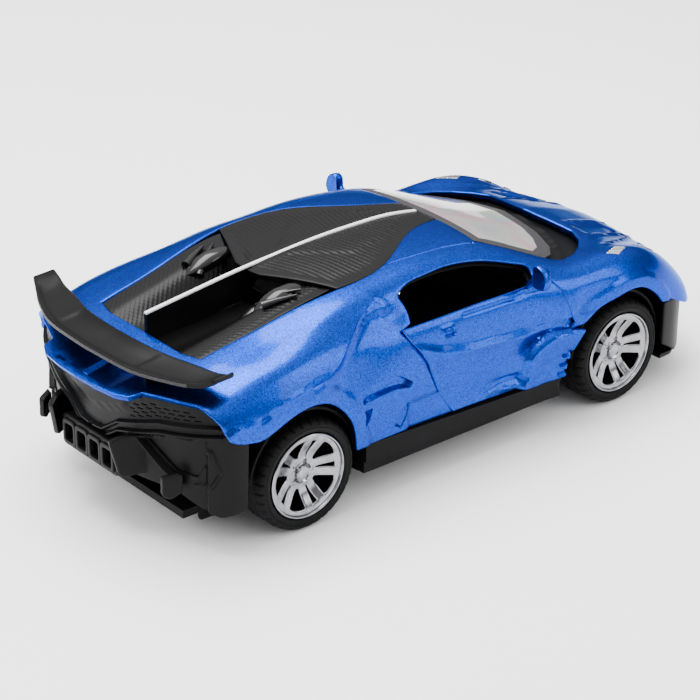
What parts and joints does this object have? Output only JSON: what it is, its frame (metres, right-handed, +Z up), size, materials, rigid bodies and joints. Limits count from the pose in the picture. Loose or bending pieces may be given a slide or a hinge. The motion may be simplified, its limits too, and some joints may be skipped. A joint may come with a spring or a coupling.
{
  "type": "pull back toy car",
  "caption": "Low two-seat toy sports coupe with a wound spring motor on the rear axle, opening doors, a bowed rear wing and free-rolling wheels.",
  "frame": {"origin": "on the ground, in the middle of the car's length and width", "axes": "+X towards the nose, +Y to the driver's left, +Z up"},
  "size_m": [0.1496, 0.07, 0.0447],
  "materials": {
    "paint": "metallic royal-blue flake paint under gloss lacquer on a die-cast shell",
    "black_plastic": "moulded black plastic, satin",
    "interior_plastic": "moulded black plastic, matt",
    "satin_plastic": "black plastic with fine carbon-look ribs, half gloss",
    "clear_plastic": "clear moulded plastic, glossy",
    "lamp": "dark glossy lamp unit with bright inner parts",
    "silver_trim": "bright silver trim",
    "rim_metal": "plated silver, satin to bright",
    "rubber": "black soft rubber, matt",
    "steel": "plain steel",
    "nylon": "natural white nylon"
  },
  "bodies": {
    "car_body": {"body_shell": "paint", "rear_bumper": "black_plastic", "front_bumper": "black_plastic", "rear_wing": "black_plastic", "chassis_base": "black_plastic", "cowl_tray": "black_plastic", "exhaust_outlets": "black_plastic", "motor_case_right": "black_plastic", "motor_case_left": "black_plastic", "interior_tub": "interior_plastic", "dashboard": "interior_plastic", "steering_wheel": "interior_plastic", "roof_moulding": "satin_plastic", "engine_cover": "satin_plastic", "windscreen": "clear_plastic", "headlight_right": "lamp", "headlight_left": "lamp", "fender_louvre_right": "silver_trim", "fender_louvre_left": "silver_trim", "door_hinge_pin_right": "steel", "door_hinge_pin_left": "steel", "idler_shaft": "steel", "drum_shaft": "steel", "chassis_screw_rear_right": "steel", "chassis_screw_rear_left": "steel", "chassis_screw_front_right": "steel", "chassis_screw_front_left": "steel"},
    "front_wheelset": {"front_axle": "steel", "rim_front_right": "rim_metal", "tyre_front_right": "rubber", "rim_front_left": "rim_metal", "tyre_front_left": "rubber"},
    "rear_wheelset": {"rear_axle": "steel", "rim_rear_right": "rim_metal", "tyre_rear_right": "rubber", "rim_rear_left": "rim_metal", "tyre_rear_left": "rubber", "axle_pinion": "nylon"},
    "idler": {"idler_gear": "nylon"},
    "drum": {"spring_drum": "nylon", "mainspring": "steel"},
    "right_door": {"door_right": "paint", "mirror_right": "paint"},
    "left_door": {"door_left": "paint", "mirror_left": "paint"}
  },
  "joints": [
    {"name": "front_axle_roll", "type": "hinge", "parent": "car_body", "child": "front_wheelset", "pos_m": [0.04235, 0, 0.0116], "axis": [0, 1, 0], "continuous": true},
    {"name": "rear_axle_roll", "type": "hinge", "parent": "car_body", "child": "rear_wheelset", "pos_m": [-0.04235, 0, 0.0116], "axis": [0, 1, 0], "continuous": true},
    {"name": "idler_turn", "type": "hinge", "parent": "car_body", "child": "idler", "pos_m": [-0.03419, 0, 0.0154], "axis": [0, 1, 0], "continuous": true},
    {"name": "drum_turn", "type": "hinge", "parent": "car_body", "child": "drum", "pos_m": [-0.0255, 0, 0.01307], "axis": [0, 1, 0], "continuous": true},
    {"name": "door_right_swing", "type": "hinge", "parent": "car_body", "child": "right_door", "pos_m": [0.0315, -0.027, 0.0275], "axis": [0, 0, 1], "range_deg": [0, 50]},
    {"name": "door_left_swing", "type": "hinge", "parent": "car_body", "child": "left_door", "pos_m": [0.0315, 0.027, 0.0275], "axis": [0, 0, -1], "range_deg": [0, 50]}
  ],
  "couplings": [
    {"joint": "idler_turn", "follows": "rear_axle_roll", "ratio": -0.5},
    {"joint": "drum_turn", "follows": "rear_axle_roll", "ratio": 0.19231}
  ]
}
